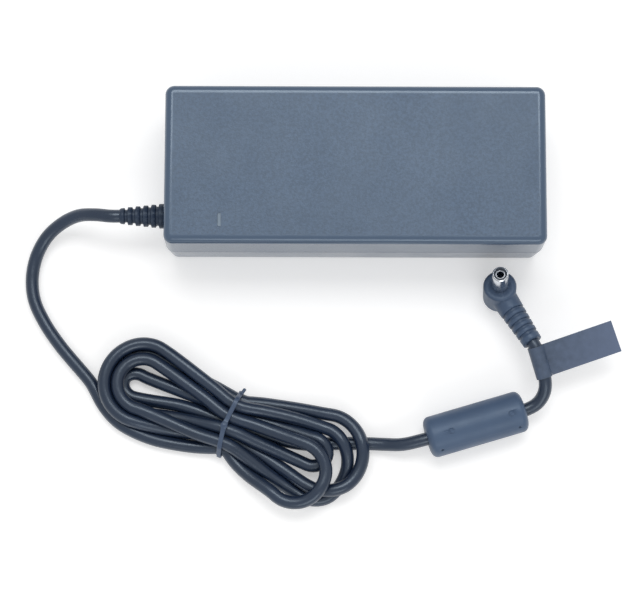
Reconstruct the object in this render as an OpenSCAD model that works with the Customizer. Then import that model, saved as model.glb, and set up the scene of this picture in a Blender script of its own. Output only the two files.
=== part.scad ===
// Desktop power adapter with a tied output cord, a moulded ferrite and a right-angle barrel plug.
// Millimetres. +Z is up, the origin is the centre of the case's underside, +X runs to the mains
// inlet, -X to the output cord, and -Y is the front.

/* [Case] */
// Length of the case at its parting line
case_length = 128; // [120:1:160]
// Width of the case at its parting line
case_width = 54.4; // [52:0.2:70]
// Height of the case
case_height = 33; // [32:0.5:44]
// Wall thickness of both covers
wall = 2.2; // [1.6:0.1:2.8]
// How far each cover draws in from the parting line to its face, per side
draft = 0.45; // [0:0.05:0.8]
// Radius of the upright corners
corner_r = 3; // [3:0.5:6]
// Radius of the rounded edge round the top and bottom faces
edge_r = 2.4; // [1:0.2:2.8]
// Height of the groove that shows between the two covers
seam_gap = 0.3; // [0.1:0.1:0.6]
// Height of the welded lip inside the seam
lip_h = 1.6; // [1:0.2:3]

/* [Board] */
// Height of the circuit board's underside above the floor inside
board_standoff = 4.3; // [3:0.1:6]
// Thickness of the circuit board
board_t = 1.6; // [1:0.2:2]
// Gap between the circuit board and the side walls
board_side_gap = 1.2; // [0.5:0.1:3]
// Diameter of a board post
post_d = 6; // [5:0.5:8]
// Thread diameter of the board screws
screw_d = 2.6; // [2:0.1:3]
// Thickness of the heat spreader under the top cover
spreader_t = 1; // [0.5:0.1:1.5]
// Thickness of each heatsink plate
heatsink_t = 1.5; // [1:0.1:2]

/* [Mains inlet] */
// Width of the inlet's cavity
inlet_w = 24.2; // [24:0.1:25]
// Height of the inlet's cavity
inlet_h = 16.4; // [16:0.1:17]
// Depth of the inlet's cavity
inlet_depth = 17; // [16:0.5:18]
// Wall of the inlet housing round its cavity
inlet_wall = 1.8; // [1.2:0.1:2.4]

/* [Cord] */
// Outside diameter of the output cord
cord_d = 4.5; // [4:0.1:5]
// Distance of the cord's exit from the middle of the case, towards the front
exit_offset = 15; // [12:0.5:18]
// Diameter of the strain relief at the case
relief_d = 8.4; // [7:0.1:10]
// Length of the strain relief outside the case
relief_length = 15.8; // [12:0.2:20]
// Height of the bundled cord's lobes
hank_h = 12; // [11:0.5:15]
// Width of the tied waist, over the tie
waist_w = 24; // [22:0.5:28]
// Height of the tied waist, over the tie
waist_h = 10.2; // [9:0.1:11]
// Diameter of the ferrite's moulded cover
ferrite_d = 14.2; // [13:0.1:16]
// Length of the ferrite's moulded cover
ferrite_length = 34.5; // [30:0.5:38]

/* [Plug] */
// Outside diameter of the plug's barrel
barrel_d = 5.5; // [5:0.1:6]
// Bore of the plug's centre contact
bore_d = 2.5; // [2.1:0.1:2.5]
// Length of the barrel outside the plug's head
barrel_length = 9.5; // [9:0.5:12]
// Diameter of the plug's head
head_d = 11.3; // [10:0.1:13]

/* [Indicator] */
// Distance of the indicator slot from the middle of the case, towards the cord
led_back = 45; // [40:0.5:50]
// Distance of the indicator slot from the middle of the case, towards the front
led_front = 19; // [17:0.5:20]
// Length of the indicator slot
led_slot_l = 4.4; // [3:0.1:6]
// Width of the indicator slot
led_slot_w = 1.2; // [1:0.1:2]

/* [Hidden] */

$fn = 48;
eps = 0.01;          // overshoot that keeps cuts clean
fit = 0.1;           // clearance of one piece in another
round_sides = 32;    // facets of the case's rounded edges

// Case
seam_z = case_height / 2;
half_h = seam_z - seam_gap / 2;
ceiling_z = case_height - wall;
label_recess = 0.4;
label_t = 0.3;
label_l = case_length - 26;
label_w = case_width - 16;

// Mains inlet, centred on the seam at the +X end
inlet_face_x = case_length / 2 - draft;
inlet_out_w = inlet_w + 2 * inlet_wall;
inlet_out_h = inlet_h + 2 * inlet_wall;
inlet_body = inlet_depth + 3;
inlet_back_x = inlet_face_x - inlet_body;
flange_over = 1.4;
flange_t = 2;
pin_gap = 14;        // between the two current pins
pin_drop = 2;        // current pins below and earth pin above the centre
pin_w = 2;
pin_h = 4;
pin_recess = 3;
pin_tail = 3;
inlet_chamfer = 5;

// Circuit board
floor_z = wall;
board_z = floor_z + board_standoff;
board_top = board_z + board_t;
board_x0 = -case_length / 2 + wall + 3.3;
board_x1 = inlet_back_x - pin_tail;
board_l = board_x1 - board_x0;
board_w = case_width - 2 * (wall + draft + board_side_gap);
post_x = [board_x0 + 4, board_x1 - 3];
post_y = board_w / 2 - 3.5;
screw_head_d = 4.8;
screw_head_h = 1.6;
screw_len = 6;

// Heat spreader and heatsinks
spreader_z = ceiling_z - 0.4 - spreader_t;
heatsink_h = spreader_z - board_top;
heatsink_y = board_w / 2 - 1.2 - heatsink_t;
transistor_t = 4.5;
transistor_w = 10;
transistor_h = 15;
transistor_z = board_top + 3;
tab_hole_z = transistor_z + 12.5;
primary_x = board_x0 + 0.62 * board_l;
primary_l = 30;
secondary_x = board_x0 + 0.17 * board_l;
secondary_l = 20;

// Indicator
led_x = -led_back;
led_y = -led_front;
led_h = 4.4;
led_d = 3;
pipe_flange = 1.2;

// Cord exit
exit_x = -case_length / 2;
relief_tip_x = exit_x - relief_length;
relief_neck_d = 6.6;
relief_flange_d = 10.4;
relief_flange_t = 2;
relief_seat = fit + draft * relief_flange_d / case_height;

// Route of the cord from the strain relief to the bundle
lead_route = [
    [relief_tip_x, -exit_offset, seam_z], [relief_tip_x - 3, -exit_offset, seam_z],
    [-88.5, -14.2, 14.6], [-94.5, -14, 11.4], [-100.5, -16, 7.8], [-106, -20.2, 4.8], [-109.8, -26.5, 2.8],
    [-111.3, -34, 2.3], [-110.4, -42, 2.3], [-106.6, -50, 2.3], [-101, -58, 2.3],
    [-95, -65, 2.3], [-89.2, -71.5, 2.3]
];

// Bundle of cord: two fanned lobes either side of a tied waist
waist = [-42.2, -84.8];
waist_turn = -19;
waist_round = 4;
tie_w = 2;
tie_t = 0.8;
left_lobe = [[-71.4, -71.2, 15.5], [-66, -77, 14], [-56, -79, 10.5]];
right_lobe = [[-10, -95.5, 14.8], [-20, -97.8, 15.2], [-24, -90, 12.5]];

// Ferrite, lying on the surface with its axis through ferrite_at
ferrite_at = [41.4, -84.8, ferrite_d / 2 + 0.2];
ferrite_turn = 16.5;
ferrite_dir = [cos(ferrite_turn), sin(ferrite_turn), 0];
ferrite_bore_d = cord_d + 2 * fit + 0.2;
core_d = 10.4;
core_bore_d = cord_d + 0.6;
core_length = ferrite_length - 9;
ferrite_reach = ferrite_length / 2 + 1.2;

// Plug: +X of its own frame is away from the cord, +Z is out along the barrel
plug_at = [50, -39.3, 7.3];
plug_turn = [4, 16, 120];
head_h = 11;
relief_root_d = 9.4;
relief_end_d = 6.8;
plug_relief_length = 21.5;
barrel_root = 3;
barrel_wall = 0.5;
contact_wall = 0.4;
head_round = 1.2;

// Direction of the plug's own X axis, and the point where the cord enters its relief
plug_dir = [cos(plug_turn[1]) * cos(plug_turn[2]), cos(plug_turn[1]) * sin(plug_turn[2]), -sin(plug_turn[1])];
plug_entry = plug_at - (plug_relief_length + fit) * plug_dir;

// Stretch of cord that the flag label is folded round
flag_from = plug_entry - 1.5 * plug_dir;
flag_to = [64.6, -69.5, 11.6];
flag_heading = 20;
flag_dip = 6;
flag_w = 11;
flag_l = 24.5;
flag_t = 0.5;
flag_sleeve = 0.3;

// Route of the cord from the bundle, through the ferrite, to the plug
tail_route = concat(
    [[5.4, -91.2, 2.4], [11, -91.5, 3.2], [16.5, -91.6, 5.6]],
    [for (step = [-1, -0.5, 0, 0.5, 1]) ferrite_at + step * ferrite_reach * ferrite_dir],
    [[62.6, -77.4, 8], [64.6, -73.8, 9.8], flag_to, (flag_from + flag_to) / 2, flag_from, plug_entry]
);

// ---- helpers ----

// A flat plate with rounded corners, centred on the origin
module rounded_rect(l, w, r) {
    offset(r = r) square([l - 2 * r, w - 2 * r], center = true);
}

// Half of the case as a solid block, standing on the parting plane; inset shrinks it all round
module half_block(height, inset) {
    r = max(corner_r - inset, 0.6);
    edge = max(min(edge_r - inset, r - eps), 0.3);
    hull() {
        linear_extrude(eps) rounded_rect(case_length - 2 * inset, case_width - 2 * inset, r);
        for (sx = [-1, 1], sy = [-1, 1])
            translate([
                sx * (case_length / 2 - inset - draft - r),
                sy * (case_width / 2 - inset - draft - r),
                height - edge
            ])
                rotate_extrude($fn = round_sides)
                    intersection() {
                        translate([r - edge, 0]) circle(edge, $fn = round_sides);
                        translate([0, -edge]) square([r, 2 * edge]);
                    }
    }
}

// The space inside the case
module case_cavity() {
    translate([0, 0, seam_z]) half_block(seam_z - wall, wall);
    translate([0, 0, seam_z]) mirror([0, 0, 1]) half_block(seam_z - wall, wall);
}

// What passes through the covers: inlet opening and cord exit
module case_openings() {
    translate([inlet_face_x - wall - 1, 0, seam_z])
        rotate([90, 0, 90])
            linear_extrude(wall + 3)
                square([inlet_out_w + 2 * fit, inlet_out_h + 2 * fit], center = true);
    translate([exit_x - 1, -exit_offset, seam_z])
        rotate([0, 90, 0]) cylinder(d = relief_neck_d + 2 * fit, h = wall + 2);
}

// A round tube swept along a list of points, every ring square to the route
function unit(v) = v / norm(v);
function heading(route, i) =
    unit(route[min(i + 1, len(route) - 1)] - route[max(i - 1, 0)]);
function ring(centre, dir, r, sides) =
    let (side = unit(cross(dir, [0, 0, 1])), rise = cross(side, dir))
    [for (k = [0:sides - 1]) centre + r * (cos(360 * k / sides) * side + sin(360 * k / sides) * rise)];
module sweep(route, d, sides) {
    rings = len(route);
    polyhedron(
        points = [for (i = [0:rings - 1]) each ring(route[i], heading(route, i), d / 2, sides)],
        faces = concat(
            [[for (k = [0:sides - 1]) k]],
            [[for (k = [sides - 1:-1:0]) (rings - 1) * sides + k]],
            [for (i = [0:rings - 2], k = [0:sides - 1]) [
                i * sides + k, (i + 1) * sides + k,
                (i + 1) * sides + (k + 1) % sides, i * sides + (k + 1) % sides
            ]]
        )
    );
}

// A plate screwed to the board, standing along X
module heatsink(x, l) {
    difference() {
        translate([x - l / 2, heatsink_y, board_top]) cube([l, heatsink_t, heatsink_h]);
        translate([x, heatsink_y - 1, tab_hole_z])
            rotate([-90, 0, 0]) cylinder(d = 3.2, h = heatsink_t + 2);
    }
}

// A three-legged power device, its tab against the plate behind it
module tab_device(x) {
    back = heatsink_y;
    difference() {
        union() {
            translate([x - transistor_w / 2, back - 1.3, transistor_z])
                cube([transistor_w, 1.3, transistor_h]);
            translate([x - transistor_w / 2, back - transistor_t, transistor_z])
                cube([transistor_w, transistor_t - 1.3 + eps, 9]);
            for (leg = [-1:1])
                translate([x + 2.54 * leg - 0.4, back - 2.8, board_top])
                    cube([0.8, 0.5, transistor_z - board_top + eps]);
        }
        translate([x, back - transistor_t - 1, tab_hole_z])
            rotate([-90, 0, 0]) cylinder(d = 3.2, h = transistor_t + 2);
    }
}

// A leaded disc standing on the board, its face along X
module leaded_disc(x, y, d, t) {
    translate([x, y, board_top + d / 2 + 1])
        rotate([90, 0, 0]) cylinder(d = d, h = t, center = true);
    for (side = [-1, 1])
        translate([x + side * d / 4, y, board_top]) cylinder(d = 0.8, h = d / 2);
}

// Everything on the plug is drawn in its own frame
module at_plug() {
    translate(plug_at) rotate(plug_turn) children();
}

// The ferrite's own frame: +X along the cord
module at_ferrite() {
    translate(ferrite_at) rotate([0, 0, ferrite_turn]) children();
}

// The tie's own frame: +X along the bundle, on the surface
module at_waist() {
    translate([waist[0], waist[1], 0]) rotate([0, 0, waist_turn]) children();
}

// Section of the waist in the tie's frame, drawn in by a margin; it runs along X for a length
module waist_section(inset, length) {
    translate([-length / 2, 0, waist_h / 2])
        rotate([90, 0, 90])
            linear_extrude(length)
                rounded_rect(waist_w - 2 * inset, waist_h - 2 * inset, waist_round - inset);
}

// ---- case ----

module top_cover() {
    color([0.20, 0.22, 0.25])
    difference() {
        translate([0, 0, seam_z + seam_gap / 2]) half_block(half_h, 0);
        case_cavity();
        translate([0, 0, seam_z - eps])
            linear_extrude(lip_h + fit + eps)
                rounded_rect(case_length - wall + 2 * fit, case_width - wall + 2 * fit, corner_r - wall / 2);
        case_openings();
        translate([led_x, led_y, ceiling_z - 1])
            linear_extrude(wall + 2) square([led_slot_w, led_slot_l], center = true);
    }
}

module bottom_cover() {
    color([0.20, 0.22, 0.25])
    difference() {
        union() {
            translate([0, 0, seam_z - seam_gap / 2]) mirror([0, 0, 1]) half_block(half_h, 0);
            translate([0, 0, seam_z - seam_gap / 2 - eps])
                linear_extrude(seam_gap / 2 + lip_h + eps)
                    rounded_rect(case_length - wall, case_width - wall, corner_r - wall / 2);
        }
        difference() {
            union() {
                case_cavity();
                translate([0, 0, seam_z - seam_gap])
                    linear_extrude(seam_gap + lip_h + eps)
                        rounded_rect(
                            case_length - 2 * wall + 2 * fit, case_width - 2 * wall + 2 * fit,
                            max(corner_r - wall, 0.6)
                        );
            }
            for (x = post_x, sy = [-1, 1])
                translate([x, sy * post_y, 0]) cylinder(d = post_d, h = board_z);
        }
        for (x = post_x, sy = [-1, 1])
            translate([x, sy * post_y, board_top - screw_len]) cylinder(d = screw_d, h = screw_len);
        translate([0, 0, -eps])
            linear_extrude(label_recess + eps) rounded_rect(label_l, label_w, 2);
        case_openings();
    }
}

module led_light_pipe() {
    color([0.75, 0.77, 0.78])
    translate([led_x, led_y, 0]) {
        translate([0, 0, ceiling_z - pipe_flange])
            linear_extrude(wall + pipe_flange - 0.1)
                square([led_slot_w - fit, led_slot_l - fit], center = true);
        translate([0, 0, ceiling_z - pipe_flange])
            linear_extrude(pipe_flange) square([led_slot_w + 1.4, led_slot_l + 1.4], center = true);
        translate([0, 0, board_top + led_h + 0.3])
            linear_extrude(ceiling_z - board_top - led_h - 0.3)
                square([led_slot_w - fit, led_slot_l - fit], center = true);
    }
}

module underside_label() {
    color([0.78, 0.79, 0.80])
    translate([0, 0, label_recess - label_t])
        linear_extrude(label_t) rounded_rect(label_l - 0.4, label_w - 0.4, 1.8);
}

module insulating_sheet() {
    color([0.90, 0.89, 0.80])
    difference() {
        translate([board_x0, -board_w / 2, floor_z]) cube([board_l, board_w, 0.4]);
        for (x = post_x, sy = [-1, 1])
            translate([x, sy * post_y, floor_z - 1]) cylinder(d = post_d + 2 * fit, h = 3);
    }
}

// ---- mains inlet ----

// Outline of the inlet's cavity, chamfered beside the earth pin
module inlet_outline() {
    polygon([
        [-inlet_w / 2, -inlet_h / 2], [inlet_w / 2, -inlet_h / 2],
        [inlet_w / 2, inlet_h / 2 - inlet_chamfer], [inlet_w / 2 - inlet_chamfer, inlet_h / 2],
        [-inlet_w / 2 + inlet_chamfer, inlet_h / 2], [-inlet_w / 2, inlet_h / 2 - inlet_chamfer]
    ]);
}

// The three pins' outlines, seen from the end of the case
module pin_outlines(grow) {
    for (side = [-1, 1])
        translate([side * pin_gap / 2, -pin_drop]) square([pin_w + grow, pin_h + grow], center = true);
    translate([0, pin_drop]) square([pin_w + grow, pin_h + grow], center = true);
}

module ac_inlet_housing() {
    color([0.09, 0.09, 0.10])
    translate([inlet_back_x, 0, seam_z]) rotate([90, 0, 90])
    difference() {
        union() {
            linear_extrude(inlet_body) square([inlet_out_w, inlet_out_h], center = true);
            translate([0, 0, inlet_body - wall - draft - 0.1 - flange_t])
                linear_extrude(flange_t)
                    square([inlet_out_w + 2 * flange_over, inlet_out_h + 2 * flange_over], center = true);
        }
        translate([0, 0, inlet_body - inlet_depth]) linear_extrude(inlet_depth + 1) inlet_outline();
        translate([0, 0, -1]) linear_extrude(inlet_body) pin_outlines(0);
    }
}

module ac_inlet_pins() {
    color([0.78, 0.76, 0.70])
    translate([inlet_back_x - pin_tail + 0.5, 0, seam_z]) rotate([90, 0, 90])
        linear_extrude(inlet_body + pin_tail - 0.5 - pin_recess) pin_outlines(0);
}

module inlet_wires() {
    color([0.62, 0.45, 0.20])
    for (side = [-1:1]) {
        tag_x = inlet_back_x - pin_tail + 0.5;
        tag_z = seam_z + (side == 0 ? pin_drop : -pin_drop);
        land = [tag_x - 3, side * (pin_gap / 2 - 1), board_top + 0.2];
        sweep([
            [tag_x - 0.3, side * pin_gap / 2, tag_z], [tag_x - 1.4, side * pin_gap / 2, tag_z - 0.6],
            land + [0.3, 0, 1.5], land
        ], 1.5, 8);
    }
}

// ---- circuit board and what it carries ----

module main_board() {
    color([0.16, 0.36, 0.20])
    difference() {
        translate([board_x0, -board_w / 2, board_z]) cube([board_l, board_w, board_t]);
        for (x = post_x, sy = [-1, 1])
            translate([x, sy * post_y, board_z - 1]) cylinder(d = screw_d + 2 * fit, h = board_t + 2);
    }
}

module board_screws() {
    color([0.62, 0.62, 0.64])
    for (x = post_x, sy = [-1, 1])
        translate([x, sy * post_y, 0]) {
            translate([0, 0, board_top]) cylinder(d = screw_head_d, h = screw_head_h);
            translate([0, 0, board_top - screw_len]) cylinder(d = screw_d, h = screw_len);
        }
}

module heat_spreader() {
    color([0.75, 0.75, 0.77])
    difference() {
        translate([board_x0 + 1, -board_w / 2 + 0.5, spreader_z])
            cube([board_l - 2, board_w - 1, spreader_t]);
        translate([led_x - led_slot_w - 0.6, led_y - led_slot_l / 2 - 1.4, spreader_z - 1])
            cube([2 * led_slot_w + 1.2, led_slot_l + 2.8, spreader_t + 2]);
    }
}

module fuse() {
    color([0.13, 0.13, 0.14])
    translate([board_x0 + 0.91 * board_l, -15, board_top]) cylinder(d = 8.2, h = 7.6);
}

module varistor() {
    color([0.20, 0.32, 0.62]) leaded_disc(board_x0 + 0.915 * board_l, -7.6, 10, 3.6);
}

module x_capacitor() {
    color([0.85, 0.70, 0.20])
    translate([board_x0 + 0.845 * board_l, -5, board_top]) cube([11.6, 6.6, 12.5]);
}

module choke_core() {
    color([0.25, 0.25, 0.27])
    translate([board_x0 + 0.91 * board_l, 10, board_top + 1.4])
        rotate_extrude() translate([3.4, 0]) square([2.4, 6]);
}

module choke_winding() {
    color([0.72, 0.36, 0.16])
    for (side = [-1, 1])
        translate([board_x0 + 0.91 * board_l, 10, board_top])
            rotate([0, 0, 90 - 60 + (side < 0 ? 180 : 0)])
                difference() {
                    rotate_extrude(angle = 120) translate([2.4, 0]) square([4.4, 8.8]);
                    translate([0, 0, 1.4 - fit])
                        rotate_extrude() translate([3.4 - fit, 0]) square([2.4 + 2 * fit, 6 + 2 * fit]);
                }
}

module thermistor() {
    color([0.10, 0.22, 0.14]) leaded_disc(board_x0 + 0.79 * board_l, 1.5, 8, 3.2);
}

module bridge_rectifier() {
    color([0.12, 0.12, 0.13])
    translate([board_x0 + 0.72 * board_l - 7.2, 12, board_top]) {
        translate([0, 0, 3]) cube([14.4, 3.4, 13]);
        for (leg = [0:3]) translate([1.6 + 3.5 * leg, 1.4, 0]) cube([0.8, 0.6, 3 + eps]);
    }
}

module bulk_capacitor() {
    color([0.12, 0.14, 0.20])
    translate([board_x0 + 0.57 * board_l, -11.5, board_top + 9])
        rotate([0, 90, 0])
            rotate_extrude() polygon([
                [0, 0], [8.2, 0], [9, 0.8], [9, 2.4], [8.6, 3], [9, 3.6], [9, 25.2], [8.2, 26], [0, 26]
            ]);
}

module primary_heatsink() {
    color([0.72, 0.73, 0.75]) heatsink(primary_x, primary_l);
}

module secondary_heatsink() {
    color([0.72, 0.73, 0.75]) heatsink(secondary_x, secondary_l);
}

module power_transistor() {
    color([0.10, 0.10, 0.11]) tab_device(primary_x);
}

module output_rectifier() {
    color([0.10, 0.10, 0.11]) tab_device(secondary_x);
}

module heatsink_screws() {
    color([0.62, 0.62, 0.64])
    for (x = [primary_x, secondary_x])
        translate([x, heatsink_y - 1.3, tab_hole_z]) rotate([-90, 0, 0]) {
            translate([0, 0, -2]) cylinder(d = 5.4, h = 2);
            cylinder(d = 3, h = heatsink_t + 1.3);
        }
}

// Transformer: a ferrite frame round a bobbin, winding between the bobbin's cheeks
trafo_x = board_x0 + 0.42 * board_l;
trafo_y = -6;
trafo_w = 27;
trafo_l = 24;
trafo_h = 19;
trafo_base = 2.4;
trafo_post_d = 9;
trafo_window_h = 13;
trafo_window_d = 19;

module transformer_core() {
    color([0.22, 0.22, 0.24])
    translate([trafo_x, trafo_y, board_top + trafo_base])
    difference() {
        translate([-trafo_l / 4 - 2, -trafo_w / 2, 0]) cube([trafo_l / 2 + 4, trafo_w, trafo_h - trafo_base]);
        translate([0, 0, 1.8])
            difference() {
                cylinder(d = trafo_window_d + 3, h = trafo_window_h);
                translate([0, 0, -1]) cylinder(d = trafo_post_d, h = trafo_window_h + 2);
            }
    }
}

module transformer_bobbin() {
    color([0.14, 0.14, 0.15])
    translate([trafo_x, trafo_y, board_top + trafo_base + 1.8]) {
        for (z = [0.1, trafo_window_h - 1.1])
            translate([0, 0, z])
                rotate_extrude() translate([trafo_post_d / 2 + fit, 0])
                    square([trafo_window_d / 2 - trafo_post_d / 2, 1]);
        rotate_extrude() translate([trafo_post_d / 2 + fit, 0.1]) square([0.9, trafo_window_h - 0.2]);
    }
    color([0.14, 0.14, 0.15])
    for (side = [-1, 1])
        translate([trafo_x + side * (trafo_l / 2 - 1.7) - 1.7, trafo_y - trafo_w / 2 + 3, board_top])
            cube([3.4, trafo_w - 6, trafo_base + 1.7]);
}

module transformer_winding() {
    color([0.86, 0.74, 0.28])
    translate([trafo_x, trafo_y, board_top + trafo_base + 1.8])
        rotate_extrude() translate([trafo_post_d / 2 + 1.1, 1.2])
            square([trafo_window_d / 2 - trafo_post_d / 2 - 1.6, trafo_window_h - 2.4]);
}

module y_capacitor() {
    color([0.18, 0.36, 0.66]) leaded_disc(board_x0 + 0.42 * board_l, 14, 8, 3);
}

module optocoupler() {
    color([0.88, 0.88, 0.86])
    translate([board_x0 + 0.27 * board_l - 2.3, -20.5, board_top]) cube([4.6, 6.5, 3.6]);
}

module controller_chip() {
    color([0.08, 0.08, 0.09])
    translate([board_x0 + 0.64 * board_l, 4, board_top]) cube([4, 5, 1.6]);
}

module output_capacitors() {
    color([0.14, 0.20, 0.34])
    for (spot = [[0.07, 4], [0.07, -5], [0.165, 8]])
        translate([board_x0 + spot[0] * board_l, spot[1], board_top])
            rotate_extrude() polygon([[0, 0], [3.6, 0], [4, 0.5], [4, 15.5], [3.6, 16], [0, 16]]);
}

module output_choke() {
    color([0.70, 0.34, 0.16])
    translate([board_x0 + 0.19 * board_l, -5, board_top + 3])
        rotate_extrude() translate([4, 0]) circle(3);
}

module indicator_led() {
    color([0.88, 0.92, 0.88])
    translate([led_x, led_y, board_top])
        rotate_extrude() polygon(concat(
            [[0, 0], [led_d / 2 + 0.4, 0], [led_d / 2 + 0.4, 1], [led_d / 2, 1]],
            [for (a = [0:15:90]) [led_d / 2 * cos(a), led_h - led_d / 2 + led_d / 2 * sin(a)]]
        ));
}

module dc_wires() {
    color([0.62, 0.10, 0.10])
    for (side = [-1, 1]) {
        start = [exit_x + wall + relief_flange_t + relief_seat + fit, -exit_offset + side * 1.1, seam_z];
        land = [board_x0 + 7.5, -exit_offset + side * 1.3, board_top + 0.2];
        sweep([start, start + [2, 0, -0.3], land + [-1.6, 0, 4], land + [-0.3, 0, 1.4], land], 1.6, 8);
    }
}

// ---- cord ----

// Moulded sleeve at the case: inner flange, neck in the wall, then ribs that taper to the cord
module cord_strain_relief() {
    ribs = 5;
    pitch = (relief_length - 2.5) / ribs;
    groove = 1;
    color([0.10, 0.11, 0.13])
    translate([exit_x, -exit_offset, seam_z]) rotate([0, -90, 0])
        rotate_extrude() polygon(concat(
            [[0, -wall - relief_flange_t - relief_seat],
                [relief_flange_d / 2, -wall - relief_flange_t - relief_seat],
                [relief_flange_d / 2, -wall - relief_seat], [relief_neck_d / 2, -wall - relief_seat],
                [relief_neck_d / 2, fit], [relief_d / 2, fit]],
            [for (i = [0:ribs - 1]) each
                let (z = 2.2 + i * pitch, r = relief_d / 2 - 0.28 * i)
                [[r, z], [r - 0.9, z + 0.3], [r - 0.9, z + groove], [r - 0.28, z + groove + 0.3]]],
            [[relief_d / 2 - 1.5, relief_length - 0.6], [relief_d / 2 - 1.8, relief_length - fit],
                [0, relief_length - fit]]
        ));
}

module dc_cord_lead() {
    color([0.10, 0.11, 0.13]) sweep(lead_route, cord_d, 12);
}

module dc_cord_tail() {
    color([0.10, 0.11, 0.13]) sweep(tail_route, cord_d, 12);
}

// Outer shape of the bundle: two lobes that share a tied waist
module dc_cord_hank() {
    color([0.12, 0.13, 0.15])
    difference() {
        linear_extrude(hank_h)
            for (lobe = [left_lobe, right_lobe])
                hull() {
                    for (c = lobe) translate([c[0], c[1]]) circle(c[2]);
                    translate(waist) rotate(waist_turn)
                        square([tie_w, waist_w - 2 * tie_t - 2 * fit], center = true);
                }
        at_waist() difference() {
            cube([tie_w + 2 * fit, 2 * waist_w, 3 * hank_h], center = true);
            waist_section(tie_t + 2 * fit, 2 * tie_w);
        }
    }
}

module cord_tie() {
    color([0.16, 0.17, 0.20])
    at_waist() {
        difference() {
            waist_section(fit, tie_w);
            waist_section(fit + tie_t, 2 * tie_w);
        }
        translate([-tie_w / 2, waist_w / 2 - fit - eps, waist_h / 2]) cube([tie_w, 1.8, 1.2]);
    }
}

// Moulded cover: rounded ends, two pips on top, two pin holes towards the front, and a pocket
// for the core along a true bore
module ferrite_cover() {
    half = ferrite_length / 2;
    r = ferrite_d / 2;
    bore_r = ferrite_bore_d / 2;
    pocket_r = core_d / 2 + fit;
    pocket = core_length / 2 + fit;
    end_r = 2.8;
    end_l = 2.2;
    hole_x = 13.6;
    hole_turn = 49;
    color([0.14, 0.16, 0.20])
    at_ferrite() difference() {
        union() {
            rotate([0, 90, 0])
                rotate_extrude() polygon([
                    [bore_r, -half],
                    for (q = [0:15:90]) [r - end_r + end_r * sin(q), -half + end_l - end_l * cos(q)],
                    for (q = [90:-15:0]) [r - end_r + end_r * sin(q), half - end_l + end_l * cos(q)],
                    [bore_r, half],
                    [bore_r, pocket], [pocket_r, pocket], [pocket_r, -pocket], [bore_r, -pocket]
                ]);
            for (x = [-9, 11.9])
                translate([x, 0, r - 0.4]) cylinder(d = 1.9, h = 0.6);
        }
        for (side = [-1, 1])
            translate([side * hole_x, 0, 0]) rotate([hole_turn, 0, 0])
                translate([0, 0, r - 0.7]) cylinder(d = 1, h = 2);
    }
}

module ferrite_core() {
    color([0.30, 0.30, 0.31])
    at_ferrite() rotate([0, 90, 0])
        rotate_extrude() translate([core_bore_d / 2, -core_length / 2])
            square([(core_d - core_bore_d) / 2, core_length]);
}

// Label folded round the cord, its two halves stuck together as a flag
module cord_flag() {
    mid = (flag_from + flag_to) / 2;
    run = flag_to - flag_from;
    turn = atan2(run[1], run[0]);
    fall = asin(run[2] / norm(run));
    color([0.16, 0.18, 0.22])
    translate(mid) rotate([0, -fall, turn]) {
        translate([-flag_w / 2, 0, 0]) rotate([0, 90, 0])
            difference() {
                cylinder(d = cord_d + 0.4 + 2 * flag_sleeve, h = flag_w);
                translate([0, 0, -1]) cylinder(d = cord_d + 0.4, h = flag_w + 2);
            }
        rotate([flag_dip, 0, flag_heading - turn - 90])
            translate([-flag_w / 2, cord_d / 2 + 0.2 + flag_sleeve / 2, -flag_t / 2])
                cube([flag_w, flag_l, flag_t]);
    }
}

// ---- plug ----

module plug_body() {
    ribs = 5;
    rib_start = 8.6;
    pitch = (plug_relief_length - rib_start - 1) / ribs;
    slope = (relief_root_d - relief_end_d) / 2 / plug_relief_length;
    color([0.13, 0.14, 0.17])
    at_plug() difference() {
        union() {
            translate([0, 0, -head_h / 2])
                rotate_extrude() polygon([
                    [0, 0], [head_d / 2 - head_round, 0], [head_d / 2 - 0.35, 0.35],
                    [head_d / 2, head_round], [head_d / 2, head_h - 0.8],
                    [head_d / 2 - 0.8, head_h], [0, head_h]
                ]);
            rotate([0, -90, 0])
                rotate_extrude() polygon(concat(
                    [[0, 0], [relief_root_d / 2, 0]],
                    [for (i = [0:ribs - 1]) each
                        let (z = rib_start + i * pitch, r = relief_root_d / 2 - slope * z)
                        [[r, z], [r - 0.7, z + 0.2], [r - 0.7, z + 0.9], [r - 0.1, z + 1.1]]],
                    [[relief_end_d / 2, plug_relief_length], [0, plug_relief_length]]
                ));
        }
        translate([0, 0, head_h / 2 - barrel_root])
            cylinder(d = barrel_d - 2 * barrel_wall, h = barrel_root + 1);
    }
}

// Outer sleeve, seated on the head round the insulator
module plug_barrel() {
    tip = head_h / 2 + barrel_length;
    color([0.80, 0.80, 0.82])
    at_plug() rotate_extrude() polygon([
        [barrel_d / 2 - barrel_wall, head_h / 2], [barrel_d / 2, head_h / 2], [barrel_d / 2, tip - 0.3], [barrel_d / 2 - 0.3, tip], [barrel_d / 2 - barrel_wall, tip]
    ]);
}

module plug_insulator() {
    color([0.06, 0.06, 0.07])
    at_plug() rotate_extrude()
        translate([bore_d / 2 + contact_wall, head_h / 2 - barrel_root])
            square([(barrel_d - bore_d) / 2 - barrel_wall - contact_wall, barrel_length + barrel_root - 0.2]);
}

module plug_contact() {
    color([0.78, 0.76, 0.70])
    at_plug() rotate_extrude()
        translate([bore_d / 2, head_h / 2 - barrel_root])
            square([contact_wall, barrel_length + barrel_root - 0.6]);
}

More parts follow.
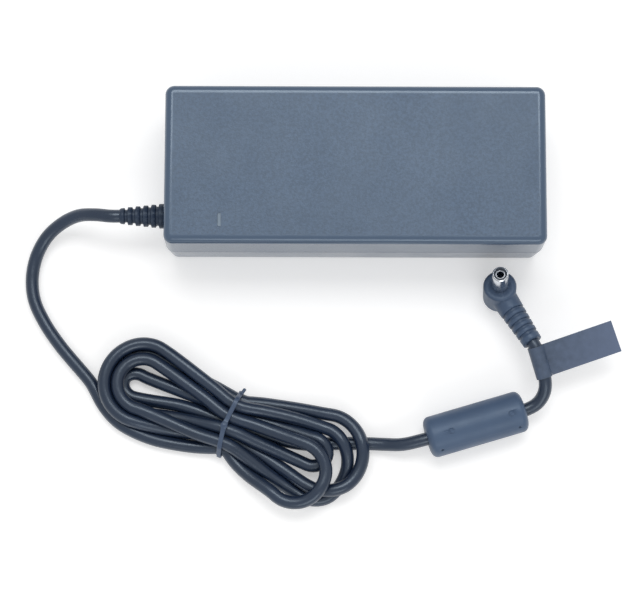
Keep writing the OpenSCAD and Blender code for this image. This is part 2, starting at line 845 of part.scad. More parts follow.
top_cover();
bottom_cover();
led_light_pipe();
underside_label();
insulating_sheet();
ac_inlet_housing();
ac_inlet_pins();
inlet_wires();
main_board();
board_screws();
heat_spreader();
fuse();
varistor();
x_capacitor();
choke_core();
choke_winding();
thermistor();
bridge_rectifier();
bulk_capacitor();
primary_heatsink();
power_transistor();
secondary_heatsink();
output_rectifier();
heatsink_screws();
transformer_core();
transformer_bobbin();
transformer_winding();
y_capacitor();
optocoupler();
controller_chip();
output_capacitors();
output_choke();
indicator_led();
dc_wires();
cord_strain_relief();
dc_cord_lead();
dc_cord_hank();
cord_tie();
dc_cord_tail();
ferrite_cover();
ferrite_core();
cord_flag();
plug_body();
plug_barrel();
plug_insulator();
plug_contact();
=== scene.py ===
"""Desktop power adapter with a tied output cord, a moulded ferrite and a right-angle barrel plug.

Metres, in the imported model's frame: +Z is up, the origin is under the middle of the case, -Y is
the front. The cord is one curve that runs from the case, round the tied bundle, through the
ferrite and into the plug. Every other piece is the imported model's own shape or a mesh made here.
"""
import math

import bmesh
import bpy
import numpy as np
from mathutils import Matrix, Vector


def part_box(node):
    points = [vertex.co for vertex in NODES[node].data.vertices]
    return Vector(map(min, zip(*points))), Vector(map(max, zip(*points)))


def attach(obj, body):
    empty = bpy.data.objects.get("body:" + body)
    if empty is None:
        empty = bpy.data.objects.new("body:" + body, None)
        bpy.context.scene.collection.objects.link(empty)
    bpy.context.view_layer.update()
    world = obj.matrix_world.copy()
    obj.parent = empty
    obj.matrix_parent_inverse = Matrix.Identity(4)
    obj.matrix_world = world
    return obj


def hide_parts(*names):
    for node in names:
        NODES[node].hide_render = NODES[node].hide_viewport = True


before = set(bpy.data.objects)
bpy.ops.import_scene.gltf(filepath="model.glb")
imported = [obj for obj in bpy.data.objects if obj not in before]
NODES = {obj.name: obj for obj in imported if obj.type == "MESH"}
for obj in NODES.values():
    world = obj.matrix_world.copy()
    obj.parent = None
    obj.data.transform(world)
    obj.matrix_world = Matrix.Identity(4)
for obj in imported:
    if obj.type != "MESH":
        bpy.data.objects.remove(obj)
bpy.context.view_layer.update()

# ---------------------------------------------------------------- camera
CAMERA_AT = (-0.01163, -0.11847, 0.59875)
CAMERA_TILT = 0.1306
CAMERA_ROLL = 0.003
CAMERA_LENS = 97.8


def make_camera():
    """The photograph's viewing angle."""
    data = bpy.data.cameras.new("camera")
    data.lens = CAMERA_LENS
    data.sensor_width = 36
    data.clip_start = 0.01
    camera = bpy.data.objects.new("camera", data)
    camera.matrix_world = (
        Matrix.Translation(CAMERA_AT)
        @ Matrix.Rotation(CAMERA_TILT, 4, "X")
        @ Matrix.Rotation(CAMERA_ROLL, 4, "Z")
    )
    bpy.context.scene.collection.objects.link(camera)
    bpy.context.scene.camera = camera


# ---------------------------------------------------------------- cord
CORD_D = 0.0045
CORD_R = CORD_D / 2

# From the strain relief down to the floor and round to the bundle
LEAD = [
    (-0.0798, -0.0150, 0.0165), (-0.0828, -0.0150, 0.0165), (-0.0885, -0.0142, 0.0146),
    (-0.0945, -0.0140, 0.0114), (-0.1005, -0.0160, 0.0078), (-0.1060, -0.0202, 0.0048),
    (-0.1098, -0.0265, 0.0028), (-0.1113, -0.0340, 0.0023), (-0.1104, -0.0420, 0.0023),
    (-0.1066, -0.0500, 0.0023), (-0.1010, -0.0580, 0.0023), (-0.0950, -0.0650, 0.0023),
    (-0.0892, -0.0715, 0.0023),
]
# Along the bundle's front edge to the tie
INTO = [
    (-0.0846, -0.0770, 0.0023), (-0.0780, -0.0826, 0.0023), (-0.0690, -0.0866, 0.0023),
    (-0.0570, -0.0892, 0.0023),
]
# From the tie, under the right lobe, to the ferrite
OUT = [(-0.0300, -0.0875, 0.0023), (-0.0180, -0.0890, 0.0023), (-0.0060, -0.0906, 0.0023)]
TAIL = [(0.0054, -0.0912, 0.0024), (0.0110, -0.0915, 0.0032), (0.0165, -0.0916, 0.0056)]
# From the ferrite, under the flag and up into the plug
FERRITE_AT = Vector((0.0414, -0.0848, 0.0073))
FERRITE_TURN = math.radians(16.5)
FERRITE_REACH = 0.01845
RISE_TO_FLAG = [(0.0626, -0.0774, 0.0080), (0.0646, -0.0738, 0.0098)]
FLAG_TO = Vector((0.0646, -0.0695, 0.0116))
FLAG_FROM = Vector((0.06110, -0.05853, 0.01367))
PLUG_ENTRY = Vector((0.06038, -0.05728, 0.01325))

# The tied bundle: strands pass the tie in two rows, and turn back in a lobe on each side
WAIST = np.array([-0.0422, -0.0848])
WAIST_TURN = math.radians(-19)
ALONG = np.array([math.cos(WAIST_TURN), math.sin(WAIST_TURN)])
ACROSS = np.array([-ALONG[1], ALONG[0]])
PITCH = 0.00445
ROW_RISE = 0.0039
TIE_LIFT = 0.0008
# (row, column) of each pass through the tie, in the cord's order
PASSES = [(0, 0), (1, 2), (1, 0), (1, 3), (0, 1), (0, 4), (1, 1), (0, 3), (0, 2)]
# Turn after each pass: axis in degrees, reach, half width, end radius, height
TURNS = [
    (-34.2, 0.0385, 0.0104, 0.0103, 0.0092),
    (155.8, 0.0412, 0.0091, 0.0088, 0.0066),
    (-23.5, 0.0426, 0.0116, 0.0104, 0.0062),
    (155.6, 0.0453, 0.0131, 0.0124, 0.0060),
    (-17.3, 0.0464, 0.0132, 0.0128, 0.0062),
    (155.7, 0.0435, 0.0111, 0.0107, 0.00225),
    (-19.5, 0.0346, 0.0046, 0.0052, 0.0034),
    (160.2, 0.0410, 0.0044, 0.0054, 0.00225),
]
TURN_SWEEP = 105
TURN_POINTS = 13
STEP = 0.002
# How the strands settle: spacing in diameters, fade of sideways shifts, and fall per round
STRAND_GAP = 1.01
SHIFT_FADE = 0.996
FALL = 0.00002
# The bundle settles, and the loose stretches left of, behind and right of it stay as laid
LOOSE_LEFT, LOOSE_BACK, LOOSE_RIGHT = -0.093, -0.052, 0.0085


def tie_pass(row, column):
    """Centre and height of one pass through the tie."""
    shift = (column - (2 if row == 0 else 1.5)) * PITCH
    return WAIST + ACROSS * shift, CORD_R + row * ROW_RISE


def lobe_turn(start, end, axis, reach, half_width, end_r, height):
    """Points of one turn of the bundle from one pass of the tie to the next."""
    (pa, za), (pb, zb) = start, end
    out = np.array([math.cos(math.radians(axis)), math.sin(math.radians(axis))])
    side = np.array([-out[1], out[0]])
    arc = []
    for k in range(TURN_POINTS):
        q = math.radians(-TURN_SWEEP + 2 * TURN_SWEEP * k / (TURN_POINTS - 1))
        arc.append(
            WAIST + out * (reach - end_r + end_r * math.cos(q)) + side * half_width * math.sin(q)
        )
    points = []
    for f in (0.33, 0.67):
        points.append((*(pa + (arc[0] - pa) * f), za + (height - za) * f))
    points += [(*p, height) for p in arc]
    for f in (0.33, 0.67):
        points.append((*(arc[-1] + (pb - arc[-1]) * f), height + (zb - height) * f))
    return points


def resample(points, step):
    """The same line with its points step apart."""
    run = np.r_[0, np.cumsum(np.linalg.norm(np.diff(points, axis=0), axis=1))]
    at = np.linspace(0, run[-1], max(2, int(round(run[-1] / step))) + 1)
    return np.stack([np.interp(at, run, points[:, k]) for k in range(3)], 1)


def through(points, step):
    """A smooth curve through the points (centripetal Catmull-Rom), evenly resampled."""
    p = np.array(points, float)
    q = np.vstack([2 * p[0] - p[1], p, 2 * p[-1] - p[-2]])
    out = []
    for i in range(1, len(q) - 2):
        p0, p1, p2, p3 = q[i - 1 : i + 3]
        n = max(2, int(math.ceil(np.linalg.norm(p2 - p1) / 0.0004)))
        t0 = 0.0
        t1 = np.linalg.norm(p1 - p0) ** 0.5
        t2 = t1 + np.linalg.norm(p2 - p1) ** 0.5
        t3 = t2 + np.linalg.norm(p3 - p2) ** 0.5
        t = np.linspace(t1, t2, n, endpoint=False)[:, None]
        a1 = ((t1 - t) * p0 + (t - t0) * p1) / (t1 - t0)
        a2 = ((t2 - t) * p1 + (t - t1) * p2) / (t2 - t1)
        a3 = ((t3 - t) * p2 + (t - t2) * p3) / (t3 - t2)
        b1 = ((t2 - t) * a1 + (t - t0) * a2) / (t2 - t0)
        b2 = ((t3 - t) * a2 + (t - t1) * a3) / (t3 - t1)
        out.append(((t2 - t) * b1 + (t - t1) * b2) / (t2 - t1))
    return resample(np.vstack(out + [p[-1:]]), step)


def settle(points, rounds=300):
    """Moves the bundle's strands apart until they lie on each other and on the floor."""
    rest = points.copy()
    p = points.copy()
    n = len(p)
    free = ~((p[:, 0] < LOOSE_LEFT) | (p[:, 1] > LOOSE_BACK) | (p[:, 0] > LOOSE_RIGHT))
    hold = (np.convolve(free.astype(float), np.ones(7) / 7, "same") * free)[:, None]
    iu, ju = np.triu_indices(n, int(math.ceil(2.5 * CORD_D / STEP)))
    shift = np.zeros_like(p)
    clear = CORD_D * STRAND_GAP
    tie_half = 2 * PITCH + 0.00005
    tie_top = CORD_R + TIE_LIFT + ROW_RISE + 0.0001
    for turn in range(rounds):
        if turn % 15 == 0:
            near = np.linalg.norm(p[iu] - p[ju], axis=1) < 2.2 * CORD_D
            i, j = iu[near], ju[near]
        d = p[i] - p[j]
        gap = np.linalg.norm(d, axis=1)
        m = gap < clear
        ii, jj, d, gap = i[m], j[m], d[m], np.maximum(gap[m], 1e-9)[:, None]
        push = (clear - gap) * 0.5 * d / gap
        total = np.zeros_like(p)
        count = np.zeros(n)
        np.add.at(total, ii, push)
        np.add.at(total, jj, -push)
        np.add.at(count, ii, 1)
        np.add.at(count, jj, 1)
        shift += 1.3 * total / np.maximum(count, 1)[:, None]
        shift[:, :2] *= SHIFT_FADE
        shift[:, 2] -= FALL
        for _ in range(3 if turn < rounds * 0.85 else 1):
            blur = shift.copy()
            blur[1:-1] = 0.25 * shift[:-2] + 0.5 * shift[1:-1] + 0.25 * shift[2:]
            shift = blur
        shift *= hold
        p = rest + shift
        s = (p[:, :2] - WAIST) @ ALONG
        t = (p[:, :2] - WAIST) @ ACROSS
        tied = (np.abs(s) < 0.003) & free
        inside = np.clip(t, -tie_half, tie_half)
        p[tied, :2] += ((inside - t)[:, None] * ACROSS)[tied]
        floor = CORD_R + TIE_LIFT * np.exp(-((s / 0.006) ** 2)) * free
        p[tied, 2] = np.minimum(p[tied, 2], tie_top)
        p[free, 2] = np.maximum(p[free, 2], floor[free])
        shift = p - rest
    p[:, 2] = np.maximum(p[:, 2], CORD_R)
    return p


def cord_route():
    """The cord's whole centreline, from the strain relief to the plug."""
    points = [*LEAD, *INTO]
    for k, place in enumerate(PASSES):
        centre, z = tie_pass(*place)
        points.append((*centre, z))
        if k < len(TURNS):
            points += lobe_turn(tie_pass(*place), tie_pass(*PASSES[k + 1]), *TURNS[k])
    points += OUT + TAIL
    step = Vector((math.cos(FERRITE_TURN), math.sin(FERRITE_TURN), 0)) * FERRITE_REACH
    points += [tuple(FERRITE_AT + step * k) for k in (-1, -0.5, 0, 0.5, 1)]
    points += RISE_TO_FLAG
    points += [tuple(FLAG_TO), tuple((FLAG_TO + FLAG_FROM) / 2), tuple(FLAG_FROM)]
    points.append(tuple(PLUG_ENTRY))
    return settle(through(points, STEP))


def make_cord(route, material):
    """The cord as one curve, and its length."""
    curve = bpy.data.curves.new("output_cord", "CURVE")
    curve.dimensions = "3D"
    curve.bevel_depth = CORD_R
    curve.bevel_resolution = 6
    curve.use_fill_caps = True
    dense = through(route, 0.001)
    spline = curve.splines.new("POLY")
    spline.points.add(len(dense) - 1)
    spline.points.foreach_set("co", np.c_[dense, np.ones(len(dense))].ravel())
    spline.use_smooth = True
    cord = bpy.data.objects.new("output_cord", curve)
    bpy.context.scene.collection.objects.link(cord)
    curve.materials.append(material)
    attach(cord, "root")
    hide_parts("dc_cord_lead", "dc_cord_hank", "dc_cord_tail")
    return cord, float(np.linalg.norm(np.diff(dense, axis=0), axis=1).sum())


# ---------------------------------------------------------------- materials
class Nodes:
    """Short names for a material's node tree."""

    def __init__(self, name):
        self.material = bpy.data.materials.new(name)
        self.material.use_nodes = True
        self.tree = self.material.node_tree
        self.shader = self.tree.nodes["Principled BSDF"]
        self.place = self.add("ShaderNodeTexCoord").outputs["Object"]

    def add(self, kind, **values):
        node = self.tree.nodes.new(kind)
        for key, value in values.items():
            setattr(node, key, value)
        return node

    def wire(self, source, target):
        self.tree.links.new(source, target)

    def noise(self, size, detail=3.0, place=None, rough=0.55):
        """Noise whose features are about size metres across."""
        node = self.add("ShaderNodeTexNoise")
        node.inputs["Scale"].default_value = 1 / size
        node.inputs["Detail"].default_value = detail
        node.inputs["Roughness"].default_value = rough
        self.wire(place or self.place, node.inputs["Vector"])
        return node.outputs["Fac"]

    def math(self, operation, a, b=None, clamp=False):
        node = self.add("ShaderNodeMath", operation=operation, use_clamp=clamp)
        for socket, value in zip(node.inputs, (a, b)):
            if value is None:
                continue
            if isinstance(value, (int, float)):
                socket.default_value = value
            else:
                self.wire(value, socket)
        return node.outputs[0]

    def remap(self, value, lo, hi, out_lo, out_hi, smooth=False):
        node = self.add("ShaderNodeMapRange")
        node.interpolation_type = "SMOOTHSTEP" if smooth else "LINEAR"
        for key, v in zip(("From Min", "From Max", "To Min", "To Max"), (lo, hi, out_lo, out_hi)):
            node.inputs[key].default_value = v
        self.wire(value, node.inputs["Value"])
        return node.outputs["Result"]

    def mix(self, factor, a, b):
        node = self.add("ShaderNodeMix", data_type="RGBA")
        self.wire(factor, node.inputs["Factor"])
        for index, value in ((6, a), (7, b)):
            if isinstance(value, tuple):
                node.inputs[index].default_value = (*value, 1)
            else:
                self.wire(value, node.inputs[index])
        return node.outputs[2]

    def bump(self, height, depth, strength=1.0):
        """Bump from a 0 to 1 height, depth metres deep."""
        node = self.add("ShaderNodeBump")
        node.inputs["Distance"].default_value = depth
        node.inputs["Strength"].default_value = strength
        self.wire(height, node.inputs["Height"])
        self.wire(node.outputs["Normal"], self.shader.inputs["Normal"])

    def colour(self, value):
        self.wire(value, self.shader.inputs["Base Color"])

    def rough(self, value):
        if isinstance(value, (int, float)):
            self.shader.inputs["Roughness"].default_value = value
        else:
            self.wire(value, self.shader.inputs["Roughness"])

    def set(self, **values):
        for key, value in values.items():
            self.shader.inputs[key.replace("_", " ")].default_value = value


def lin(r, g, b):
    """An 8-bit sRGB colour in linear light."""

    def one(v):
        v /= 255
        return v / 12.92 if v <= 0.04045 else ((v + 0.055) / 1.055) ** 2.4

    return (one(r), one(g), one(b))


def shade(colour, k):
    return tuple(min(1.0, c * k) for c in colour)


# Tint of the highlights on the dark plastics
COOL = (0.78, 0.90, 1.0, 1.0)


def moulded(
    name, colour, rough=0.45, grain=0.0004, depth=0.00001, spread=0.16, patch=0.012, metal=0.0,
    rough_spread=0.08,
):
    """A moulded or coated surface: a fine grain, slow variation of colour and of gloss."""
    m = Nodes(name)
    slow = m.noise(patch, 2.0)
    fine = m.noise(grain, 2.0)
    m.colour(m.mix(slow, shade(colour, 1 - spread), shade(colour, 1 + spread)))
    gloss = m.noise(patch * 0.6, 3.0)
    m.rough(m.remap(gloss, 0.3, 0.7, rough - rough_spread, rough + rough_spread))
    m.bump(fine, depth)
    m.set(Metallic=metal)
    if not metal:
        m.set(Specular_Tint=COOL)
    return m.material


CASE_COLOUR = lin(73, 91, 115)
BORDER = 0.0031
TOP_GRAIN = 0.00042


def case_material():
    """Fine matte grain on the broad faces, and a smooth glossy border and sides."""
    m = Nodes("case_plastic_finish")
    _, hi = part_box("top_cover")
    split = m.add("ShaderNodeSeparateXYZ")
    m.wire(m.place, split.inputs[0])
    off_x = m.math("SUBTRACT", m.math("ABSOLUTE", split.outputs[0]), hi.x - BORDER)
    off_y = m.math("SUBTRACT", m.math("ABSOLUTE", split.outputs[1]), hi.y - BORDER)
    edge = m.math("MAXIMUM", off_x, off_y)
    panel = m.remap(edge, -0.0003, 0.0001, 1.0, 0.0, True)
    facing = m.add("ShaderNodeNewGeometry").outputs["Normal"]
    tilt = m.add("ShaderNodeSeparateXYZ")
    m.wire(facing, tilt.inputs[0])
    flat = m.remap(m.math("ABSOLUTE", tilt.outputs[2]), 0.9, 0.99, 0.0, 1.0, True)
    textured = m.math("MULTIPLY", panel, flat)
    grain = m.noise(TOP_GRAIN, 2.0, rough=0.6)
    slow = m.noise(0.045, 2.0)
    speck = m.noise(0.0009, 4.0, rough=0.7)
    base = m.mix(slow, shade(CASE_COLOUR, 0.85), shade(CASE_COLOUR, 1.3))
    fleck = m.mix(m.remap(speck, 0.38, 0.62, 0.0, 1.0), shade(CASE_COLOUR, 0.74), base)
    m.colour(m.mix(textured, shade(CASE_COLOUR, 0.9), fleck))
    rub = m.remap(m.noise(0.02, 4.0), 0.3, 0.7, -0.04, 0.05)
    m.rough(m.math("ADD", m.remap(textured, 0, 1, 0.2, 0.46), rub))
    m.bump(m.math("MULTIPLY", m.math("SUBTRACT", grain, 0.42), textured), 0.00008, 0.8)
    m.set(Specular_Tint=COOL, Specular_IOR_Level=0.85)
    return m.material


def cord_material():
    """Soft PVC with a dull sheen."""
    m = Nodes("cord_jacket_finish")
    slow = m.noise(0.02, 2.0)
    m.colour(m.mix(slow, lin(20, 31, 50), lin(32, 46, 70)))
    m.rough(m.remap(m.noise(0.006, 3.0), 0.3, 0.7, 0.25, 0.38))
    m.bump(m.noise(0.0012, 2.0), 0.00004)
    m.set(Specular_Tint=COOL, Specular_IOR_Level=0.85)
    return m.material


def wound(name, colour, groove, axis="Z", metal=0.0, rough=0.35, pitch=0.0009):
    """Wire or tape laid in even turns."""
    m = Nodes(name)
    band = m.add("ShaderNodeTexWave", wave_type="BANDS", bands_direction=axis)
    band.inputs["Scale"].default_value = 0.314 / pitch
    band.inputs["Distortion"].default_value = 0.6
    m.wire(m.place, band.inputs["Vector"])
    m.colour(m.mix(band.outputs["Fac"], groove, colour))
    m.rough(m.remap(m.noise(0.003), 0.3, 0.7, rough - 0.06, rough + 0.08))
    m.bump(band.outputs["Fac"], 0.0001)
    m.set(Metallic=metal)
    return m.material


def laminate():
    """Green solder mask with copper areas showing through."""
    m = Nodes("board_laminate_finish")
    cells = m.add("ShaderNodeTexVoronoi", feature="DISTANCE_TO_EDGE")
    cells.inputs["Scale"].default_value = 140
    m.wire(m.place, cells.inputs["Vector"])
    track = m.remap(cells.outputs["Distance"], 0.05, 0.09, 0.0, 1.0, True)
    m.colour(m.mix(track, (0.02, 0.10, 0.05), (0.035, 0.19, 0.08)))
    m.rough(m.remap(m.noise(0.004), 0.3, 0.7, 0.25, 0.4))
    m.bump(track, 0.00004)
    return m.material


def light_pipe():
    m = Nodes("light_pipe_finish")
    m.colour(m.mix(m.noise(0.002), lin(112, 130, 148), lin(128, 146, 162)))
    m.rough(m.remap(m.noise(0.001), 0.3, 0.7, 0.3, 0.42))
    m.set(Transmission_Weight=0.15, IOR=1.49)
    return m.material


def flag_material():
    """Dull film round the cord, lighter towards its free end."""
    m = Nodes("flag_film_finish")
    split = m.add("ShaderNodeSeparateXYZ")
    m.wire(m.place, split.inputs[0])
    lo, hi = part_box("cord_flag")
    along = m.remap(split.outputs[0], lo.x + 0.006, hi.x, 0.0, 1.0)
    tone = m.mix(along, lin(66, 80, 100), lin(92, 106, 132))
    m.colour(m.mix(m.remap(m.noise(0.002, 4.0), 0.3, 0.7, 0, 0.35), tone, lin(96, 112, 140)))
    m.rough(m.remap(m.noise(0.004), 0.3, 0.7, 0.36, 0.5))
    m.bump(m.noise(0.0016, 3.0), 0.00004)
    return m.material


SLOT_FINISHES = {
    "case_plastic": case_material,
    "light_pipe": light_pipe,
    "label_film": lambda: moulded("label_film_finish", lin(150, 158, 168), 0.38, 0.0006),
    "insulating_film": lambda: moulded("insulating_film_finish", lin(196, 190, 170), 0.3, 0.002),
    "inlet_plastic": lambda: moulded("inlet_plastic_finish", lin(38, 46, 60), 0.4, 0.0005),
    "inlet_metal": lambda: moulded(
        "inlet_metal_finish", lin(205, 203, 196), 0.28, 0.0003, metal=1.0),
    "wire_insulation": lambda: moulded("wire_insulation_finish", lin(120, 36, 34), 0.4, 0.001),
    "board_laminate": laminate,
    "screw_steel": lambda: moulded(
        "screw_steel_finish", lin(176, 178, 180), 0.32, 0.0002, metal=1.0),
    "heatsink_aluminium": lambda: moulded(
        "heatsink_aluminium_finish", lin(190, 193, 197), 0.4, 0.0003, metal=1.0),
    "device_epoxy": lambda: moulded("device_epoxy_finish", lin(36, 37, 40), 0.5, 0.0003),
    "disc_lacquer": lambda: moulded("disc_lacquer_finish", lin(38, 84, 150), 0.28, 0.0012),
    "film_box": lambda: moulded("film_box_finish", lin(206, 186, 96), 0.35, 0.0005),
    "ferrite": lambda: moulded("ferrite_finish", lin(58, 58, 62), 0.55, 0.0003),
    "copper_winding": lambda: wound(
        "copper_winding_finish", lin(196, 110, 62), lin(96, 46, 28), metal=1.0),
    "winding_tape": lambda: wound(
        "winding_tape_finish", lin(222, 190, 60), lin(170, 140, 40), pitch=0.004),
    "capacitor_sleeve": lambda: moulded("capacitor_sleeve_finish", lin(36, 42, 66), 0.26, 0.002),
    "opto_white": lambda: moulded("opto_white_finish", lin(214, 213, 207), 0.45, 0.0004),
    "cord_jacket": cord_material,
    "relief_moulding": lambda: moulded("relief_moulding_finish", lin(36, 48, 68), 0.42, 0.0004),
    "tie_plastic": lambda: moulded("tie_plastic_finish", lin(66, 80, 104), 0.34, 0.0006),
    "ferrite_moulding": lambda: moulded(
        "ferrite_moulding_finish", lin(72, 90, 116), 0.42, 0.0004, 0.00002),
    "flag_film": flag_material,
    "plug_moulding": lambda: moulded("plug_moulding_finish", lin(66, 82, 106), 0.42, 0.0004),
    "plug_metal": lambda: moulded(
        "plug_metal_finish", lin(208, 212, 218), 0.2, 0.0003, metal=1.0),
    "plug_insulation": lambda: moulded("plug_insulation_finish", lin(28, 33, 44), 0.45, 0.0004),
}
_made = {}


def finish_of(slot):
    """The slot's material, made on its first use."""
    if slot not in _made:
        _made[slot] = SLOT_FINISHES[slot]()
    return _made[slot]


# ---------------------------------------------------------------- pieces
SMOOTH_ANGLE = math.radians(32)
JOIN_WITHIN = 2e-6


def add_piece(name, bm, slot, *replaced):
    """A piece from the mesh, which stands for the replaced CAD nodes."""
    mesh = bpy.data.meshes.new(name)
    bmesh.ops.recalc_face_normals(bm, faces=bm.faces)
    bm.to_mesh(mesh)
    bm.free()
    mesh.shade_smooth()
    mesh.set_sharp_from_angle(angle=SMOOTH_ANGLE)
    mesh.materials.append(finish_of(slot))
    piece = bpy.data.objects.new(name, mesh)
    bpy.context.scene.collection.objects.link(piece)
    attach(piece, "root")
    if replaced:
        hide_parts(*replaced)
    return piece


def smooth_copy(node, name, slot):
    """The node's own shape with its facets joined, so that its round faces shade smoothly."""
    bm = bmesh.new()
    bm.from_mesh(NODES[node].data)
    bmesh.ops.remove_doubles(bm, verts=bm.verts, dist=JOIN_WITHIN)
    bmesh.ops.dissolve_degenerate(bm, edges=bm.edges, dist=1e-7)
    piece = add_piece(name, bm, slot, node)
    even = piece.modifiers.new("even_shading", "WEIGHTED_NORMAL")
    even.keep_sharp = True
    return piece


# Tie: a band round the waist, its lock on the top, and its cut end on the far side
TIE_T = 0.0008
TIE_W = 0.0016
TIE_REACH_ALONG = 0.0016
TIE_REACH_ACROSS = 0.013
TIE_CLEAR = 0.00002
TIE_POINTS = 120
TIE_SECTION = [
    (-1, -0.6), (-0.75, -1), (0.75, -1), (1, -0.6), (1, 0.6), (0.75, 1), (-0.75, 1), (-1, 0.6),
]
KNOT_ACROSS = -0.0012
KNOT_BACK = -0.0015
KNOT_HALF = 0.0011
KNOT_RISE = 0.0005
KNOT_WIDER = 0.45
PULL_HALF = 0.0118
STUB_SIZE = (0.0024, 0.0011, 0.0012)
STUB_TURN = math.radians(52)
STUB_ROUND = 0.0002


def hull_loop(route):
    """Outline of the strands where the tie goes round them, as (across, height) in metres."""
    s = (route[:, :2] - WAIST) @ ALONG
    t = (route[:, :2] - WAIST) @ ACROSS
    close = (np.abs(s) < TIE_REACH_ALONG) & (np.abs(t) < TIE_REACH_ACROSS)
    ring = np.array([(math.cos(a), math.sin(a)) for a in np.linspace(0, 2 * math.pi, 25)[:-1]])
    cloud = [p + ring * (CORD_R + TIE_T / 2 + TIE_CLEAR) for p in np.c_[t, route[:, 2]][close]]
    cloud = np.vstack(cloud)
    order = sorted(map(tuple, cloud))

    def half(points):
        out = []
        for p in points:
            while len(out) > 1:
                (ax, ay), (bx, by) = out[-2], out[-1]
                if (bx - ax) * (p[1] - ay) - (by - ay) * (p[0] - ax) > 0:
                    break
                out.pop()
            out.append(p)
        return out[:-1]

    loop = np.array(half(order) + half(order[::-1]))
    closed = np.vstack([loop, loop[:1]])
    run = np.r_[0, np.cumsum(np.linalg.norm(np.diff(closed, axis=0), axis=1))]
    at = np.linspace(0, run[-1], TIE_POINTS + 1)[:-1]
    return np.stack([np.interp(at, run, closed[:, k]) for k in range(2)], 1)


def make_tie(route):
    """A thin band round the waist, drawn back to a small lock on the top, with a cut end."""
    loop = hull_loop(route)
    n = len(loop)
    mid_z = loop[:, 1].mean()
    bm = bmesh.new()
    rings = []
    sides = len(TIE_SECTION)
    for k in range(n):
        t, z = loop[k]
        a, b = loop[k - 1], loop[(k + 1) % n]
        d = (b - a) / np.linalg.norm(b - a)
        out = np.array([d[1], -d[0]])
        upper = z > mid_z
        pull = max(0.0, 1 - abs(t - KNOT_ACROSS) / PULL_HALF) if upper else 0.0
        back = KNOT_BACK * pull
        near = math.exp(-(((t - KNOT_ACROSS) / KNOT_HALF) ** 2)) if upper else 0.0
        ring = []
        for u, v in TIE_SECTION:
            along = back + u * TIE_W / 2 * (1 + KNOT_WIDER * near)
            rise = v * TIE_T / 2 + (KNOT_RISE * near if v > 0 else 0)
            tt, zz = t + out[0] * rise, z + out[1] * rise
            xy = WAIST + ALONG * along + ACROSS * tt
            ring.append(bm.verts.new((xy[0], xy[1], zz)))
        rings.append(ring)
    for k in range(n):
        a, b = rings[k], rings[(k + 1) % n]
        for q in range(sides):
            bm.faces.new((a[q], a[(q + 1) % sides], b[(q + 1) % sides], b[q]))
    # the cut end stands off the band on the far side
    far = loop[np.argmax(loop[:, 0])]
    base = WAIST + ACROSS * (far[0] - 0.0004) + ALONG * 0.0002
    stub = bmesh.ops.create_cube(bm, size=1)["verts"]
    turn = Matrix.Rotation(STUB_TURN, 4, "Z")
    place = Matrix.Translation((base[0] + 0.0006, base[1] + 0.0006, far[1] + 0.0022))
    shape = place @ turn @ Matrix.Diagonal((*STUB_SIZE, 1))
    bmesh.ops.transform(bm, matrix=shape, verts=stub)
    edges = list({e for v in stub for e in v.link_edges})
    bmesh.ops.bevel(bm, geom=edges, offset=STUB_ROUND, segments=2, affect="EDGES")
    return add_piece("cord_tie_band", bm, "tie_plastic", "cord_tie")


# ---------------------------------------------------------------- stage
FLOOR_HALF = 2.5
FLOOR_DROP = 0.0001
FLOOR_TONE = 0.82
# What the floor adds for rays that show it, on top of the light that falls on it
FLOOR_GLOW = 0.36
WORLD_LIGHT = 0.62
LAMPS_AIM = (0, -0.04, 0)


def make_stage():
    """A white floor that keeps the object's shadow."""
    bm = bmesh.new()
    bmesh.ops.create_grid(bm, x_segments=8, y_segments=8, size=FLOOR_HALF)
    mesh = bpy.data.meshes.new("floor")
    bm.to_mesh(mesh)
    bm.free()
    floor = bpy.data.objects.new("floor", mesh)
    floor.location.z = -FLOOR_DROP
    bpy.context.scene.collection.objects.link(floor)
    material = bpy.data.materials.new("floor_white")
    material.use_nodes = True
    tree = material.node_tree
    tree.nodes.clear()
    out = tree.nodes.new("ShaderNodeOutputMaterial")
    both = tree.nodes.new("ShaderNodeAddShader")
    matt = tree.nodes.new("ShaderNodeBsdfDiffuse")
    matt.inputs["Color"].default_value = (FLOOR_TONE, FLOOR_TONE, FLOOR_TONE, 1)
    glow = tree.nodes.new("ShaderNodeEmission")
    glow.inputs["Color"].default_value = (1, 1, 1, 1)
    tree.links.new(seen(tree, FLOOR_GLOW), glow.inputs["Strength"])
    tree.links.new(matt.outputs[0], both.inputs[0])
    tree.links.new(glow.outputs[0], both.inputs[1])
    # seen from below, the floor lets the underside show
    under = tree.nodes.new("ShaderNodeMixShader")
    side = tree.nodes.new("ShaderNodeNewGeometry").outputs["Backfacing"]
    tree.links.new(side, under.inputs[0])
    tree.links.new(both.outputs[0], under.inputs[1])
    tree.links.new(tree.nodes.new("ShaderNodeBsdfTransparent").outputs[0], under.inputs[2])
    tree.links.new(under.outputs[0], out.inputs[0])
    mesh.materials.append(material)


def seen(tree, strength):
    """strength for rays from the camera, a mirror or through glass, and nothing for the rest."""
    path = tree.nodes.new("ShaderNodeLightPath")
    total = None
    for name in ("Is Camera Ray", "Is Glossy Ray", "Is Transmission Ray"):
        if total is None:
            total = path.outputs[name]
            continue
        add = tree.nodes.new("ShaderNodeMath")
        add.operation = "MAXIMUM"
        tree.links.new(total, add.inputs[0])
        tree.links.new(path.outputs[name], add.inputs[1])
        total = add.outputs[0]
    scale = tree.nodes.new("ShaderNodeMapRange")
    scale.inputs["To Min"].default_value = 0.0
    scale.inputs["To Max"].default_value = strength
    tree.links.new(total, scale.inputs["Value"])
    return scale.outputs["Result"]


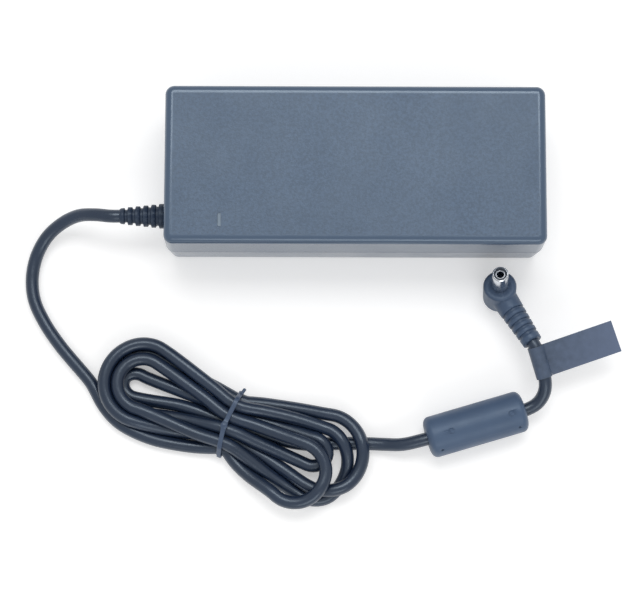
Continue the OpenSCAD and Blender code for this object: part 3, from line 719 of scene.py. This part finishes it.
def make_world():
    """White to the camera, and a plain level of light for everything else."""
    world = bpy.data.worlds.new("studio")
    bpy.context.scene.world = world
    world.use_nodes = True
    background = world.node_tree.nodes["Background"]
    background.inputs["Color"].default_value = (1, 1, 1, 1)
    path = world.node_tree.nodes.new("ShaderNodeLightPath")
    scale = world.node_tree.nodes.new("ShaderNodeMapRange")
    scale.inputs["To Min"].default_value = WORLD_LIGHT
    scale.inputs["To Max"].default_value = 1.0
    world.node_tree.links.new(path.outputs["Is Camera Ray"], scale.inputs["Value"])
    world.node_tree.links.new(scale.outputs["Result"], background.inputs["Strength"])


def soft_box(name, at, size, watts):
    data = bpy.data.lights.new(name, "AREA")
    data.shape = "RECTANGLE"
    data.size, data.size_y = size
    data.energy = watts
    lamp = bpy.data.objects.new(name, data)
    lamp.location = at
    lamp.rotation_euler = (Vector(LAMPS_AIM) - Vector(at)).to_track_quat("-Z", "Y").to_euler()
    bpy.context.scene.collection.objects.link(lamp)


# ---------------------------------------------------------------- build
bpy.context.scene.view_settings.view_transform = "Standard"
make_camera()
route = cord_route()
cord, cord_length = make_cord(route, finish_of("cord_jacket"))

tie = make_tie(route)
relief = smooth_copy("cord_strain_relief", "strain_relief_moulding", "relief_moulding")
ferrite = smooth_copy("ferrite_cover", "ferrite_cover_moulding", "ferrite_moulding")
flag = smooth_copy("cord_flag", "cord_flag_film", "flag_film")
plug = smooth_copy("plug_body", "plug_body_moulding", "plug_moulding")
barrel = smooth_copy("plug_barrel", "plug_barrel_shell", "plug_metal")
smooth_copy("top_cover", "case_top", "case_plastic")
smooth_copy("bottom_cover", "case_bottom", "case_plastic")
smooth_copy("ac_inlet_housing", "mains_inlet_housing", "inlet_plastic")
smooth_copy("ac_inlet_pins", "mains_inlet_pins", "inlet_metal")
for node, obj in NODES.items():
    for k in range(len(obj.material_slots)):
        slot_name = obj.material_slots[k].material.name.split(".")[0]
        obj.material_slots[k].material = finish_of(slot_name)

make_stage()
make_world()
soft_box("overhead", (0.02, 0.50, 1.25), (0.9, 0.5), 6.0)
soft_box("front", (0.25, -1.2, 0.9), (0.9, 0.6), 3.5)
